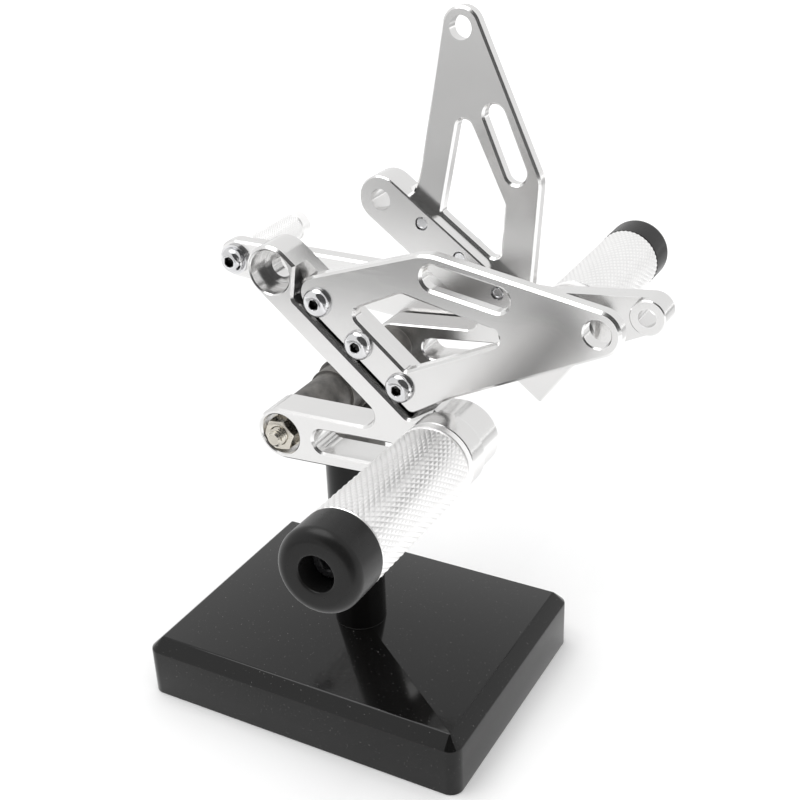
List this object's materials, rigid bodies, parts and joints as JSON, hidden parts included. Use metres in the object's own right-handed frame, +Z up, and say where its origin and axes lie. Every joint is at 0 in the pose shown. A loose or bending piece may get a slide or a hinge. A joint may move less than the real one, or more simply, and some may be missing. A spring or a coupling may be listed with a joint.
{
  "type": "footrest kit",
  "caption": "Pair of motorcycle rear-set footrests with frame adapter plates, knurled pegs and a brake lever, bolted to a display stand.",
  "frame": {"origin": "middle of the display base's underside", "axes": "+Z up, +X towards the rear of the motorcycle along the base's long side, -Y the motorcycle's left side"},
  "size_m": [0.2032, 0.2507, 0.2523],
  "materials": {
    "satin_aluminium": "satin anodised, machined edges",
    "knurled_aluminium": "bright diamond knurl",
    "black_plastic": "matt moulded",
    "stainless_steel": "polished",
    "black_steel": "black oxide",
    "plated_steel": "nickel plated",
    "bronze": "turned",
    "gloss_black": "polished black",
    "dark_rubber": "dull moulded"
  },
  "bodies": {
    "stand_and_sets": {"cross_bolt": "plated_steel", "cross_bolt_nut": "plated_steel", "cross_sleeve": "dark_rubber", "display_base": "gloss_black", "display_post": "gloss_black", "inner_thrust_washer": "plated_steel", "left_adapter": "satin_aluminium", "left_adapter_screws": "stainless_steel", "left_cap_screw": "black_steel", "left_collar": "dark_rubber", "left_end_cap": "black_plastic", "left_footpeg": "knurled_aluminium", "left_hanger": "satin_aluminium", "left_peg_bolt": "plated_steel", "left_spacer_collar": "satin_aluminium", "left_stud_washer": "plated_steel", "lever_bush": "bronze", "outer_thrust_washer": "plated_steel", "post_head": "dark_rubber", "post_stud": "plated_steel", "right_adapter": "satin_aluminium", "right_adapter_screws": "stainless_steel", "right_cap_screw": "black_steel", "right_collar": "dark_rubber", "right_end_cap": "black_plastic", "right_footpeg": "knurled_aluminium", "right_hanger": "satin_aluminium", "right_peg_bolt": "plated_steel", "right_stud_washer": "plated_steel"},
    "lever": {"brake_lever": "satin_aluminium", "toe_peg": "knurled_aluminium", "toe_peg_screw": "stainless_steel", "toe_peg_washer": "stainless_steel"}
  },
  "joints": [
    {"name": "brake_lever_hinge", "type": "hinge", "parent": "stand_and_sets", "child": "lever", "pos_m": [0.06218, 0.05125, 0.13986], "axis": [0, -1, 0], "range_deg": [-5, 15]}
  ]
}
